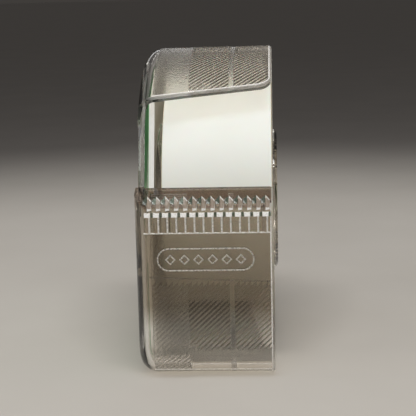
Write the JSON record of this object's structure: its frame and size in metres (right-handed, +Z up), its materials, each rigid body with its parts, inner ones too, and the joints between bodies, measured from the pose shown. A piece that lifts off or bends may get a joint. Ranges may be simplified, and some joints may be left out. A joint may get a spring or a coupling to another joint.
{
  "type": "tape dispenser",
  "caption": "Clear one-piece snail-shaped tape dispenser with a moulded serrated cutting edge, a printed card insert and a roll of tape that turns on its hub.",
  "frame": {"origin": "middle of the bounding box's footprint, on the flat base", "axes": "+Z up from the flat base, -Y the way the cutting teeth face, +X the open side where the roll is seen"},
  "size_m": [0.024, 0.0598, 0.0544],
  "materials": {
    "clear_plastic": "clear, glossy, with frosted and hatched panels",
    "printed_card": "semi-gloss print on the outer face, matt white on the back",
    "core_plastic": "satin",
    "matte_tape": "matt, slightly translucent",
    "tab_paper": "matt"
  },
  "bodies": {
    "shell": {"dispenser_shell": "clear_plastic", "label_card": "printed_card"},
    "roll": {"roll_core": "core_plastic", "tape_roll": "matte_tape", "start_tab": "tab_paper"}
  },
  "joints": [
    {"name": "roll_spin", "type": "hinge", "parent": "shell", "child": "roll", "pos_m": [0, 0.00137, 0.0259], "axis": [1, 0, 0], "continuous": true}
  ]
}
